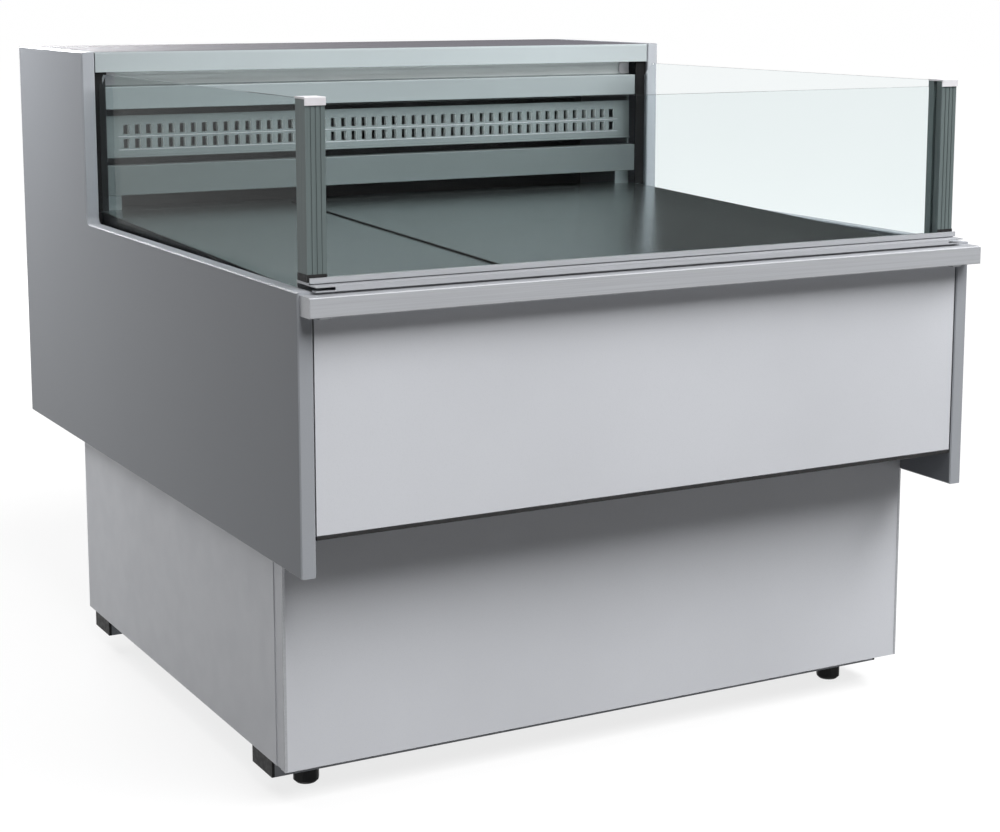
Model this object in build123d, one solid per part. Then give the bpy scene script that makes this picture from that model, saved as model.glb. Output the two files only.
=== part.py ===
from build123d import *
import os
from math import cos, radians

# Refrigerated display case, in millimetres. X runs along the front, Y from the front to the
# back and Z up. The origin lies on the floor, under the middle of the whole case.

# Body and end panels
body_length = 1000.0
end_panel_thickness = 20.0
end_panel_depth = 1166.0
end_panel_drop = 53.0
end_panel_step = 822.0
step_radius = 12.0
panel_edge_chamfer = 1.6
front_height = 301.0
rear_rise = 262.0
sheet = 1.5
fold_radius = 1.2
fit_gap = 0.3

# Base beams and levelling feet
foot_diameter = 36.0
foot_height = 27.0
foot_inset = 63.0
rear_foot_shift = 16.0
foot_edge = 4.0
foot_flat_width = 33.5
foot_flat_count = 6
stud_diameter = 10.0
stud_headroom = 3.0
thread_gap = 0.05
weld_nut_diameter = 18.0
weld_nut_height = 8.0
beam_width = 68.0
beam_height = 23.0
beam_wall = 2.0
front_beam_inset = 47.0
rear_beam_inset = 31.0
plug_head = 4.0
plug_spigot = 15.0

# Plinth and its frame
plinth_setback = 110.0
plinth_depth = 826.0
plinth_height = 342.0
corner_return = 15.0
corner_groove = 1.5
corner_strip = 14.0
corner_joggle = 1.0
upright_width = 40.0
upright_wall = 2.0
louvre_pitch = 18.0
louvre_height = 8.0
louvre_bar = 60.0
louvre_end_margin = 70.0
louvre_edge_margin = 44.0

# Insulated tub
tub_floor_thickness = 50.0
tub_wall_thickness = 50.0
tub_rear_thickness = 60.0
rear_pan_depth = 53.0
end_wall_thickness = 11.5
end_wall_drop = 15.0
front_skin_setback = 2.0
front_skin_thickness = 2.0
front_skin_reveal = 2.0
front_skin_lip = 28.0
front_skin_drop = 2.0

# Front rails
rail_seat_drop = 3.0
bumper_depth = 30.0
bumper_height = 25.0
bumper_wall = 2.0
bumper_edge = 1.0
bumper_end_inset = 3.0
hook_width = 15.0
hook_drop = 5.0
hook_depth = 12.0
hook_inset = 28.0
top_rail_overhang = 10.0
top_rail_height = 10.0
top_rail_lift = 3.0
top_rail_wall = 1.5
top_rail_cutback = 26.0
channel_setback = 6.5
channel_depth = 40.5
channel_base = 2.0
channel_lip = 2.5
channel_height = 8.0
channel_rear_height = 3.0
channel_lift = 1.5
channel_tuck = 5.0

# Glass guard
glass_thickness = 6.0
glass_groove = 8.0
post_width = 26.0
post_depth = 29.0
post_setback = 15.0
post_height = 219.5
post_groove_width = 1.6
post_groove_depth = 0.8
post_groove_pitch = 6.5
cap_plate = 2.5
cap_skirt = 7.5
cap_skirt_sheet = 1.6
cap_overhang = 0.8
front_glass_height = 212.0
side_glass_inset = 4.0
side_glass_cut_depth = 29.0
side_glass_cut_height = 25.0

# Display deck
deck_edge_gap = 12.5
deck_front_gap = 6.0
deck_rear_gap = 2.5
deck_rise = 16.0
deck_slope = 1.7
deck_sheet = 2.0
deck_flange = 16.0
deck_left_width = 313.0
deck_seam_gap = 3.0
support_height = 30.0
support_foot = 25.0
support_inset = 40.0
strip_depth = 60.0
strip_flange = 60.0

# Air duct, lamp and worktop
air_box_setback = 830.0
air_box_depth = 20.5
air_box_inset = 21.0
air_slot_height = 24.0
lower_box_height = 46.0
canopy_height = 34.5
duct_bracket_width = 27.0
duct_bracket_sheet = 2.0
duct_cheek_depth = 6.0
air_panel_height = 65.0
slot_margin = 28.0
slot_pitch = 18.4
slot_width = 9.0
slot_height = 14.5
slot_row_pitch = 22.0
slot_tab_depth = 8.0
slot_tab_sheet = 1.0
air_panel_lip = 4.0
lamp_height = 23.0
lamp_depth = 36.0
diffuser_thickness = 3.0
diffuser_rib = 1.2
diffuser_rib_width = 2.0
diffuser_rib_pitch = 8.0
worktop_thickness = 31.0
worktop_front_overlap = 1.0
worktop_edge_radius = 4.0
worktop_end_gap = 1.5

# Evaporator and its fans
evaporator_setback = 376.0
evaporator_end_gap = 121.0
evaporator_depth = 170.0
evaporator_height = 120.0
evaporator_clear = 28.0
coil_pipe_radius = 5.0
coil_bend_pitch = 30.0
coil_bend_inset = 30.0
fin_pitch = 18.0
fin_thickness = 1.5
fin_depth = 6.0
coil_end_plate = 2.0
stub_length = 15.0
fan_plate_gap = 90.0
fan_plate_height = 200.0
fan_plate_sheet = 2.0
fan_x = 220.0
fan_axis_height = 100.0
evaporator_fan_radius = 52.0
evaporator_fan_hub = 18.0
evaporator_blade_width = 28.0
fan_tip_gap = 4.0
fan_blades = 5
fan_blade_sheet = 1.5
fan_blade_pitch = 32.0
fan_hub_length = 26.0
fan_seat_gap = 6.0
fan_shaft_radius = 4.0
fan_shaft_gap = 0.05
fan_hub_cap = 5.0
motor_radius = 30.0
motor_length = 50.0
motor_bar_width = 12.0
motor_bar_sheet = 4.0
motor_bar_overlap = 10.0

# Machine compartment
compressor_inset = 270.0
compressor_diameter = 160.0
compressor_height = 185.0
compressor_dome = 45.0
compressor_seam = 4.0
compressor_base_length = 210.0
compressor_base_width = 150.0
compressor_base_sheet = 4.0
grommet_diameter = 26.0
grommet_height = 12.0
grommet_inset = 16.0
suction_port_height = 130.0
discharge_port_height = 100.0
suction_pipe_radius = 6.0
liquid_pipe_radius = 4.0
pipe_bend = 14.0
pipe_hole_gap = 1.0
suction_stub_inset = 40.0
liquid_stub_inset = 80.0
suction_stub_height = 95.0
liquid_stub_height = 35.0
suction_riser_offset = 70.0
liquid_riser_offset = 40.0
liquid_outlet_height = 40.0
drier_radius = 12.0
drier_length = 110.0
condenser_inset = 320.0
condenser_width = 300.0
condenser_height = 240.0
condenser_thickness = 44.0
condenser_rear_gap = 45.0
shroud_depth = 50.0
condenser_fan_radius = 100.0
condenser_fan_hub = 34.0
condenser_blade_width = 55.0
drain_inset = 200.0
drain_setback = 350.0
drain_radius = 13.0
drain_wall = 2.5
drain_flange = 10.0
drain_flange_thickness = 2.0
drain_drop = 60.0
condensate_length = 240.0
condensate_width = 200.0
condensate_height = 40.0
gland_inset = 120.0
gland_height = 22.0
gland_bore_radius = 5.0
gland_thread_radius = 9.0
gland_nut_radius = 13.0
gland_nut_length = 9.0

# Screws of the rear sheets
screw_radius = 2.0
screw_length = 8.0
screw_head_radius = 4.0
screw_head_height = 2.2
screw_recess_length = 4.4
screw_recess_width = 1.0
screw_recess_depth = 1.2
screw_hole_gap = 0.3
screw_edge = 25.0

# Rear panel and controls
rear_panel_setback = 3.0
control_inset = 200.0
control_drop = 94.0
control_width = 200.0
control_height = 70.0
control_flange = 12.0
control_recess = 4.0
control_sheet = 3.0
controller_offset = -45.0
controller_width = 78.0
controller_height = 36.0
controller_bezel = 2.5
controller_rim = 3.7
controller_body_depth = 45.0
display_width = 30.0
display_height = 20.0
display_offset = -17.0
display_recess = 0.8
button_width = 9.4
button_height = 8.0
button_depth = 6.5
button_proud = 1.0
button_first_offset = 6.0
button_pitch = 11.0
button_well = 3.0
rocker_first_offset = 30.0
rocker_pitch = 36.0
rocker_width = 20.0
rocker_length = 26.0
rocker_base_length = 20.8
rocker_depth = 6.0
rocker_dish = 1.8
rocker_tilt = 7.0
rocker_gap = 1.8
rocker_pin_radius = 1.5
rocker_pin_gap = 0.06
rocker_pin_drop = 3.0
rocker_well = 12.0
rocker_well_wall = 1.5

# Stations worked out from the sizes above
half_length = body_length / 2
overall_depth = end_panel_depth + bumper_depth
front = bumper_depth - overall_depth / 2
rear = front + end_panel_depth
step_y = front + end_panel_step
plinth_bottom = foot_height + beam_height
tub_bottom = plinth_bottom + plinth_height
tub_floor_top = tub_bottom + tub_floor_thickness
front_top = tub_bottom + front_height
overall_height = front_top + rear_rise
rail_seat = front_top - rail_seat_drop
end_wall_top = front_top - end_wall_drop
end_wall_inner = half_length - end_wall_thickness

plinth_front = front + plinth_setback
plinth_rear = plinth_front + plinth_depth
tray_top = plinth_bottom + sheet
frame_half = half_length - sheet - corner_joggle
front_beam_y = plinth_front + front_beam_inset + beam_width / 2
rear_beam_y = plinth_rear - rear_beam_inset - beam_width / 2
beam_half = half_length - plug_head
foot_x = half_length - foot_inset
rear_foot_y = rear_beam_y - rear_foot_shift
stud_top = plinth_bottom - beam_wall - stud_headroom

tub_front = front + front_skin_setback + front_skin_thickness
tub_inner_front = tub_front + tub_wall_thickness
rear_face = rear - rear_panel_setback
tub_rear = rear_face - rear_pan_depth
tub_inner_rear = tub_rear - tub_rear_thickness

top_rail_top = rail_seat + top_rail_height
channel_front = front + channel_setback
channel_rear = channel_front + channel_depth
channel_floor = top_rail_top + channel_base
post_front = front + post_setback
post_rear = post_front + post_depth
post_inner = half_length - post_width
post_top = channel_floor + post_height
side_glass_outer = half_length - side_glass_inset
side_glass_inner = side_glass_outer - glass_thickness
front_glass_front = post_front + (post_depth - glass_thickness) / 2

air_box_front = front + air_box_setback
air_box_rear = air_box_front + air_box_depth
air_box_half = half_length - air_box_inset
worktop_bottom = overall_height - worktop_thickness
deck_half = half_length - deck_edge_gap
deck_seam_x = deck_left_width - deck_half
deck_front = tub_inner_front + deck_front_gap
deck_rear = air_box_front - deck_rear_gap
deck_rear_top = front_top + deck_rise
deck_length = (deck_rear - deck_front) / cos(radians(deck_slope))
lower_box_bottom = deck_rear_top + air_slot_height
lower_box_top = lower_box_bottom + lower_box_height
canopy_top = worktop_bottom - lamp_height
canopy_bottom = canopy_top - canopy_height
air_panel_middle = (lower_box_top + canopy_bottom) / 2

evaporator_front = tub_inner_front + evaporator_setback
evaporator_rear = evaporator_front + evaporator_depth
evaporator_end = end_wall_inner - evaporator_end_gap
evaporator_bottom = tub_floor_top + evaporator_clear
fan_plate_y = evaporator_rear + fan_plate_gap
evaporator_fan_z = tub_floor_top + fan_axis_height
evaporator_fan_opening = evaporator_fan_radius + fan_tip_gap
suction_y = evaporator_rear - suction_stub_inset
liquid_y = evaporator_rear - liquid_stub_inset
suction_riser_x = evaporator_end + suction_riser_offset
liquid_riser_x = evaporator_end + liquid_riser_offset

compressor_x = half_length - compressor_inset
compressor_y = suction_y
compressor_base_bottom = tray_top + grommet_height
compressor_base_top = compressor_base_bottom + compressor_base_sheet
suction_port_z = compressor_base_top + suction_port_height
discharge_port_z = compressor_base_top + discharge_port_height
condenser_x = condenser_inset - half_length
condenser_end = condenser_x + condenser_width / 2
condenser_rear = plinth_rear - sheet - condenser_rear_gap
condenser_front = condenser_rear - condenser_thickness
condenser_mid_y = (condenser_front + condenser_rear) / 2
shroud_front = condenser_front - shroud_depth
condenser_fan_middle = (condenser_x, shroud_front, tray_top + condenser_height / 2)
condenser_fan_opening = condenser_fan_radius + fan_tip_gap
drain_x = drain_inset - half_length
drain_y = front + drain_setback
gland_x = half_length - gland_inset
gland_z = plinth_bottom + gland_height

control_x = half_length - control_inset
control_z = worktop_bottom - control_drop
control_face = rear_face - control_recess
controller_x = control_x + controller_offset
control_screw_x = (control_width + control_flange) / 2
control_screw_z = (control_height + control_flange) / 2
control_screws = [(control_x + x, control_z + z) for x in (-control_screw_x, control_screw_x)
                  for z in (-control_screw_z, control_screw_z)]
grille_screw_x = frame_half - upright_width / 2
grille_screw_rows = (tray_top + screw_edge, (tray_top + tub_bottom) / 2, tub_bottom - screw_edge)

UP = (0, 0, 1)
BACK = (0, 1, 0)
RIGHT = (1, 0, 0)
LEFT = (-1, 0, 0)


def block(x_low, x_high, y_low, y_high, z_low, z_high):
    """Box between two opposite corners."""
    corner = (Align.MIN, Align.MIN, Align.MIN)
    return Pos(x_low, y_low, z_low) * Box(x_high - x_low, y_high - y_low, z_high - z_low, align=corner)


def rod(start, direction, radius, length):
    """Round bar from a point along a direction."""
    bar = Cylinder(radius, length, align=(Align.CENTER, Align.CENTER, Align.MIN))
    return Plane(start, z_dir=direction) * bar


def along_x(outline, x_low, x_high):
    """Bar along X whose section is an outline of (y, z) points."""
    section = Face(Polyline(*[(x_low, y, z) for y, z in outline], close=True))
    return extrude(section, amount=x_high - x_low, dir=RIGHT)


def mirrored(solid):
    """The same piece on the other side of the case's middle plane."""
    return mirror(solid, about=Plane.YZ)


def pair(solid):
    """A piece and its mirror image."""
    return Compound(children=[solid, mirrored(solid)])


def on_slope(solid):
    """Place a level piece, drawn from the deck's rear top edge, at the deck's slope."""
    return Pos(0, deck_rear, deck_rear_top) * Rot(X=deck_slope) * solid


# Base

def base_beam(y_middle, foot_y):
    """Flat tube along the case, with a welded nut over each foot."""
    y_low = y_middle - beam_width / 2
    y_high = y_middle + beam_width / 2
    tube = block(-beam_half, beam_half, y_low, y_high, foot_height, plinth_bottom)
    tube -= block(-beam_half, beam_half, y_low + beam_wall, y_high - beam_wall,
                  foot_height + beam_wall, plinth_bottom - beam_wall)
    for x in (-foot_x, foot_x):
        tube += rod((x, foot_y, foot_height + beam_wall), UP, weld_nut_diameter / 2, weld_nut_height)
        tube -= rod((x, foot_y, foot_height), UP, stud_diameter / 2 + thread_gap,
                    beam_wall + weld_nut_height)
    return tube


def beam_plug(y_middle):
    """Push-in plug for the right end of a base beam."""
    y_low = y_middle - beam_width / 2
    y_high = y_middle + beam_width / 2
    inset = beam_wall + fit_gap
    head = block(beam_half, half_length, y_low, y_high, foot_height, plinth_bottom)
    spigot = block(beam_half - plug_spigot, beam_half, y_low + inset, y_high - inset,
                   foot_height + inset, plinth_bottom - inset)
    return head + spigot


def foot(x, y):
    """Levelling foot: a pad with flats to turn it by and a threaded stud, screwed fully in."""
    pad = rod((x, y, 0), UP, foot_diameter / 2, foot_height)
    pad = chamfer(pad.edges().filter_by(GeomType.CIRCLE), min(foot_edge, foot_height / 3))
    grip = RegularPolygon(foot_flat_width / 2, foot_flat_count, major_radius=False)
    pad &= Pos(x, y, 0) * extrude(grip, amount=foot_height)
    return pad + rod((x, y, foot_height), UP, stud_diameter / 2, stud_top - foot_height)


# Plinth

def plinth_front_panel():
    """Front sheet, folded back round both corners."""
    panel = block(-half_length, half_length, plinth_front, plinth_front + corner_return,
                  plinth_bottom, tub_bottom)
    corners = panel.edges().filter_by(Axis.Z).group_by(Axis.Y)[0]
    panel = fillet(corners, fold_radius)
    return panel - block(-half_length + sheet, half_length - sheet, plinth_front + sheet,
                         plinth_front + corner_return, plinth_bottom, tub_bottom)


def plinth_side_panel():
    """Right side sheet, with a strip set in beside the front corner."""
    strip_front = plinth_front + corner_return + corner_groove
    strip_rear = strip_front + corner_strip
    outer = half_length
    panel = block(outer - sheet, outer, strip_rear, plinth_rear, plinth_bottom, tub_bottom)
    strip = block(outer - sheet - corner_joggle, outer - corner_joggle, strip_front,
                  strip_rear + sheet, plinth_bottom, tub_bottom)
    return panel + strip


def rear_grille():
    """Louvred sheet that closes the plinth at the back, with a hole for the gland."""
    inner = half_length - sheet
    grille = block(-inner, inner, plinth_rear - sheet, plinth_rear, plinth_bottom, tub_bottom)
    middle = (plinth_bottom + tub_bottom) / 2
    rows = int((plinth_height - 2 * louvre_edge_margin) / louvre_pitch)
    louvre_end = half_length - louvre_end_margin
    cuts = []
    for row in range(rows):
        z = middle + (row - (rows - 1) / 2) * louvre_pitch
        for x_low, x_high in ((-louvre_end, -louvre_bar / 2), (louvre_bar / 2, louvre_end)):
            cuts.append(block(x_low, x_high, plinth_rear - sheet, plinth_rear,
                              z - louvre_height / 2, z + louvre_height / 2))
    for x in (-grille_screw_x, grille_screw_x):
        for z in grille_screw_rows:
            cuts.append(rod((x, plinth_rear - sheet, z), BACK, screw_radius + screw_hole_gap, sheet))
    cuts.append(rod((gland_x, plinth_rear - sheet, gland_z), BACK, gland_thread_radius + fit_gap, sheet))
    return grille - cuts


def machine_tray():
    """Floor sheet of the machine compartment, on the base beams."""
    return block(-frame_half, frame_half, plinth_front + sheet, plinth_rear - sheet,
                 plinth_bottom, tray_top)


def square_tube(x_low, y_low, z_low, x_high, y_high, z_high, axis):
    """Square tube between two corners, hollow along the named axis."""
    wall = {name: 0 if name == axis else upright_wall for name in "xyz"}
    outer = block(x_low, x_high, y_low, y_high, z_low, z_high)
    return outer - block(x_low + wall["x"], x_high - wall["x"], y_low + wall["y"], y_high - wall["y"],
                         z_low + wall["z"], z_high - wall["z"])


def support_frame():
    """Four uprights on the tray and two side rails that carry the tub."""
    inner = frame_half - upright_width
    front_y = plinth_front + sheet
    rear_y = plinth_rear - sheet
    front_post = square_tube(inner, front_y, tray_top, frame_half, front_y + upright_width,
                             tub_bottom, "z")
    rear_post = square_tube(inner, rear_y - upright_width, tray_top, frame_half, rear_y,
                            tub_bottom, "z")
    for z in grille_screw_rows:
        rear_post -= rod((grille_screw_x, rear_y - upright_wall, z), BACK,
                         screw_radius + thread_gap, upright_wall)
    rail = square_tube(inner, front_y + upright_width, tub_bottom - upright_width, frame_half,
                       rear_y - upright_width, tub_bottom, "y")
    right = [front_post, rear_post, rail]
    return Compound(children=right + [mirrored(tube) for tube in right])


# Refrigeration

def finned_coil(x_low, x_high, y_low, y_high, z_low, z_high, foot_z, bend_rows):
    """Finned block between two end plates that stand at foot_z, with bends on both ends."""
    coil = block(x_low, x_high, y_low + fin_depth, y_high - fin_depth, z_low + fin_depth, z_high - fin_depth)
    fins = int((x_high - x_low) / fin_pitch)
    for index in range(1, fins):
        x = x_low + index * fin_pitch
        coil += block(x, x + fin_thickness, y_low, y_high, z_low, z_high)
    for x in (x_low, x_high - coil_end_plate):
        coil += block(x, x + coil_end_plate, y_low, y_high, foot_z, z_high)
    bends = int((z_high - z_low) / coil_bend_pitch) // 2
    for y in bend_rows:
        for index in range(bends):
            z = z_low + (2 * index + 1) * coil_bend_pitch
            coil += return_bend((x_high, y, z), BACK)
            coil += return_bend((x_low, y, z), (0, -1, 0))
    return coil


def return_bend(middle, axis):
    """Half-round pipe bend standing out of an end plate."""
    x, y, z = middle
    start = Plane((x, y, z + coil_bend_pitch / 2), z_dir=RIGHT) * Circle(coil_pipe_radius)
    return revolve(start, axis=Axis(middle, axis), revolution_arc=180)


def evaporator_coil():
    """Cooling coil under the deck, with its two pipe stubs."""
    rows = [evaporator_front + coil_bend_inset, evaporator_front + 2 * coil_bend_inset]
    coil = finned_coil(-evaporator_end, evaporator_end, evaporator_front, evaporator_rear,
                       evaporator_bottom, evaporator_bottom + evaporator_height, tub_floor_top, rows)
    for y, height, radius in ((suction_y, suction_stub_height, suction_pipe_radius),
                              (liquid_y, liquid_stub_height, liquid_pipe_radius)):
        coil += rod((evaporator_end, y, evaporator_bottom + height), RIGHT, radius, stub_length)
    return coil


def condenser_coil():
    """Heat-rejecting coil behind the grille, with its two pipe stubs."""
    top = tray_top + condenser_height
    coil = finned_coil(condenser_x - condenser_width / 2, condenser_end, condenser_front, condenser_rear,
                       tray_top, top, tray_top, [])
    for z, radius in ((discharge_port_z, liquid_pipe_radius),
                      (tray_top + liquid_outlet_height, liquid_pipe_radius)):
        coil += rod((condenser_end, condenser_mid_y, z), RIGHT, radius, stub_length)
    return coil


def condenser_shroud():
    """Sheet box that leads the air from the coil to the fan."""
    x_low = condenser_x - condenser_width / 2
    top = tray_top + condenser_height
    shroud = block(x_low, condenser_end, shroud_front, condenser_front, tray_top, top)
    shroud -= block(x_low + sheet, condenser_end - sheet, shroud_front + sheet, condenser_front,
                    tray_top + sheet, top - sheet)
    return shroud - rod(condenser_fan_middle, BACK, condenser_fan_opening, sheet)


def axial_fan(middle, radius, hub_radius, blade_width):
    """Fan with pitched blades; middle is the centre of the plate's opening on the motor's side."""
    fan = rod((0, 0, 0), UP, hub_radius, fan_hub_length)
    span = radius - hub_radius / 2
    for index in range(fan_blades):
        blade = Rot(X=fan_blade_pitch) * Box(span, blade_width, fan_blade_sheet)
        blade = Pos(radius - span / 2, 0, fan_hub_length / 2) * blade
        fan += Rot(Z=index * 360 / fan_blades) * blade
    fan &= rod((0, 0, -blade_width), UP, radius, fan_hub_length + 2 * blade_width)
    fan -= rod((0, 0, 0), UP, fan_shaft_radius + fan_shaft_gap, fan_hub_length - fan_hub_cap)
    x, y, z = middle
    return Plane((x, y + fan_seat_gap, z), z_dir=BACK) * fan


def evaporator_fan(x):
    """One of the two fans behind the evaporator."""
    return axial_fan((x, fan_plate_y, evaporator_fan_z), evaporator_fan_radius, evaporator_fan_hub,
                     evaporator_blade_width)


def fan_motor(middle, opening_radius):
    """Motor on two crossed bars over a fan opening, with its shaft towards the fan."""
    bar_length = 2 * (opening_radius + motor_bar_overlap)
    motor = rod((0, 0, -motor_bar_sheet - motor_length), UP, motor_radius, motor_length)
    for angle in (45, 135):
        bar = Pos(0, 0, -motor_bar_sheet / 2) * Box(bar_length, motor_bar_width, motor_bar_sheet)
        motor += Rot(Z=angle) * bar
    shaft_length = fan_seat_gap + fan_hub_length - fan_hub_cap - fit_gap
    motor += rod((0, 0, 0), UP, fan_shaft_radius, shaft_length)
    return Plane(middle, z_dir=BACK) * motor


def evaporator_fan_plate():
    """Upright sheet across the tub that holds the two evaporator fans."""
    plate = block(-end_wall_inner, end_wall_inner, fan_plate_y, fan_plate_y + fan_plate_sheet,
                  tub_floor_top, tub_floor_top + fan_plate_height)
    for x in (-fan_x, fan_x):
        plate -= rod((x, fan_plate_y, evaporator_fan_z), BACK, evaporator_fan_opening, fan_plate_sheet)
    return plate


def compressor():
    """Hermetic can on a base plate, with its suction and discharge stubs."""
    can = rod((0, 0, 0), UP, compressor_diameter / 2, compressor_height)
    dome = min(compressor_dome, compressor_height / 3, compressor_diameter / 3)
    can = fillet(can.edges().filter_by(GeomType.CIRCLE), dome)
    can += rod((0, 0, compressor_height / 2), UP, compressor_diameter / 2 + compressor_seam, compressor_seam)
    can = Pos(compressor_x, compressor_y, compressor_base_top) * can
    can += block(compressor_x - compressor_base_length / 2, compressor_x + compressor_base_length / 2,
                 compressor_y - compressor_base_width / 2, compressor_y + compressor_base_width / 2,
                 compressor_base_bottom, compressor_base_top)
    reach = compressor_diameter / 2 + stub_length
    can += rod((compressor_x, compressor_y, suction_port_z), RIGHT, suction_pipe_radius, reach)
    can += rod((compressor_x, compressor_y, discharge_port_z), LEFT, liquid_pipe_radius, reach)
    return can


def compressor_grommets():
    """Four rubber buffers under the compressor's base plate."""
    x_reach = compressor_base_length / 2 - grommet_inset
    y_reach = compressor_base_width / 2 - grommet_inset
    buffers = []
    for x in (compressor_x - x_reach, compressor_x + x_reach):
        for y in (compressor_y - y_reach, compressor_y + y_reach):
            buffers.append(rod((x, y, tray_top), UP, grommet_diameter / 2, grommet_height))
    return Compound(children=buffers)


def pipe(points, radius):
    """Round pipe along straight runs joined by bends."""
    path = FilletPolyline(*points, radius=pipe_bend)
    return sweep(Plane(path @ 0, z_dir=path % 0) * Circle(radius), path=path)


def refrigerant_pipes():
    """Suction pipe, discharge pipe, and liquid line with its filter drier."""
    port_reach = compressor_diameter / 2 + stub_length
    coil_stub = evaporator_end + stub_length
    condenser_stub = condenser_end + stub_length
    suction_z = evaporator_bottom + suction_stub_height
    suction = pipe([(compressor_x + port_reach, compressor_y, suction_port_z),
                    (suction_riser_x, compressor_y, suction_port_z),
                    (suction_riser_x, suction_y, suction_z),
                    (coil_stub, suction_y, suction_z)], suction_pipe_radius)
    port_x = compressor_x - port_reach
    turn_x = (port_x + condenser_stub) / 2
    discharge = pipe([(port_x, compressor_y, discharge_port_z),
                      (turn_x, compressor_y, discharge_port_z),
                      (turn_x, condenser_mid_y, discharge_port_z),
                      (condenser_stub, condenser_mid_y, discharge_port_z)], liquid_pipe_radius)
    low_z = tray_top + liquid_outlet_height
    liquid_z = evaporator_bottom + liquid_stub_height
    liquid = pipe([(condenser_stub, condenser_mid_y, low_z),
                   (liquid_riser_x, condenser_mid_y, low_z),
                   (liquid_riser_x, liquid_y, low_z),
                   (liquid_riser_x, liquid_y, liquid_z),
                   (coil_stub, liquid_y, liquid_z)], liquid_pipe_radius)
    drier_y = (condenser_mid_y + liquid_y - drier_length) / 2
    drier = rod((liquid_riser_x, drier_y, low_z), BACK, drier_radius, drier_length)
    drier = chamfer(drier.edges().filter_by(GeomType.CIRCLE), (drier_radius - liquid_pipe_radius) / 2)
    return Compound(children=[suction, discharge, liquid + drier])


def drain_spout():
    """Flanged tube that leads meltwater through the tub floor."""
    outer = drain_radius + drain_wall
    bottom = tray_top + drain_drop
    spout = rod((drain_x, drain_y, bottom), UP, outer, tub_floor_top - bottom)
    spout += rod((drain_x, drain_y, tub_floor_top), UP, outer + drain_flange, drain_flange_thickness)
    return spout - rod((drain_x, drain_y, bottom), UP, drain_radius,
                       tub_floor_top + drain_flange_thickness - bottom)


def condensate_tray():
    """Open pan under the spout, where meltwater dries off."""
    x_low = drain_x - condensate_length / 2
    y_low = drain_y - condensate_width / 2
    x_high = x_low + condensate_length
    y_high = y_low + condensate_width
    pan = block(x_low, x_high, y_low, y_high, tray_top, tray_top + condensate_height)
    return pan - block(x_low + sheet, x_high - sheet, y_low + sheet, y_high - sheet,
                       tray_top + sheet, tray_top + condensate_height)


def cable_gland():
    """Gland in the grille: threaded body, nut inside and dome outside."""
    inner = plinth_rear - sheet - gland_nut_length
    gland = rod((gland_x, inner, gland_z), BACK, gland_nut_radius, gland_nut_length)
    gland += rod((gland_x, inner, gland_z), BACK, gland_thread_radius, gland_nut_length + sheet)
    dome = rod((gland_x, plinth_rear, gland_z), BACK, gland_nut_radius, gland_nut_length)
    tip = dome.edges().filter_by(GeomType.CIRCLE).sort_by(Axis.Y)[-1]
    gland += chamfer(tip, (gland_nut_radius - gland_bore_radius) / 2)
    return gland - rod((gland_x, inner, gland_z), BACK, gland_bore_radius, 2 * gland_nut_length + sheet)


# Body

def end_panel():
    """Right end panel: a thick L-shaped board, low at the front and high at the back."""
    outline = [(front, tub_bottom - end_panel_drop), (rear, tub_bottom - end_panel_drop),
               (rear, overall_height), (step_y, overall_height), (step_y, front_top), (front, front_top)]
    panel = along_x(outline, half_length, half_length + end_panel_thickness)
    inner_corner = panel.edges().filter_by(Axis.X).sort_by_distance((half_length, step_y, front_top))[0]
    panel = fillet(inner_corner, step_radius)
    sides = panel.faces().sort_by(Axis.X)
    return chamfer(sides[0].edges() + sides[-1].edges(), panel_edge_chamfer)


def tub_floor():
    """Insulated floor, with holes for the drain and the pipes."""
    floor = block(-half_length, half_length, tub_front, tub_rear, tub_bottom, tub_floor_top)
    for x, y, radius in ((drain_x, drain_y, drain_radius + drain_wall + fit_gap),
                         (suction_riser_x, suction_y, suction_pipe_radius + pipe_hole_gap),
                         (liquid_riser_x, liquid_y, liquid_pipe_radius + pipe_hole_gap)):
        floor -= rod((x, y, tub_bottom), UP, radius, tub_floor_thickness)
    return floor


def tub_front_wall():
    """Insulated front wall, up to the seat of the rails."""
    return block(-half_length, half_length, tub_front, tub_inner_front, tub_floor_top, rail_seat)


def tub_rear_wall():
    """Insulated rear wall of the air duct, up to the worktop."""
    return block(-half_length, half_length, tub_inner_rear, tub_rear, tub_floor_top, worktop_bottom)


def end_wall():
    """Insulated right end wall of the tub, on which the side glass stands."""
    return block(end_wall_inner, half_length, tub_inner_front, tub_inner_rear, tub_floor_top, end_wall_top)


def front_panel():
    """Front sheet of the body, with a lip folded under the tub."""
    half = half_length - front_skin_reveal
    skin_front = front + front_skin_setback
    bottom = tub_bottom - front_skin_drop
    face = block(-half, half, skin_front, tub_front, bottom, rail_seat)
    lip = block(-half, half, skin_front, skin_front + front_skin_lip, bottom, tub_bottom)
    panel = face + lip
    edge = panel.edges().filter_by(Axis.X).sort_by_distance((0, skin_front, bottom))[0]
    return chamfer(edge, min(front_skin_thickness, front_skin_drop) / 2)


def rear_panel():
    """Back sheet folded into a shallow pan, with the control window."""
    panel = block(-half_length, half_length, tub_rear, rear_face, tub_bottom, worktop_bottom)
    panel -= block(-half_length + sheet, half_length - sheet, tub_rear, rear_face - sheet,
                   tub_bottom + sheet, worktop_bottom - sheet)
    panel -= block(control_x - control_width / 2, control_x + control_width / 2,
                   rear_face - sheet, rear_face,
                   control_z - control_height / 2, control_z + control_height / 2)
    for x, z in control_screws:
        panel -= rod((x, rear_face - sheet, z), BACK, screw_radius + screw_hole_gap, sheet)
    return panel


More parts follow.
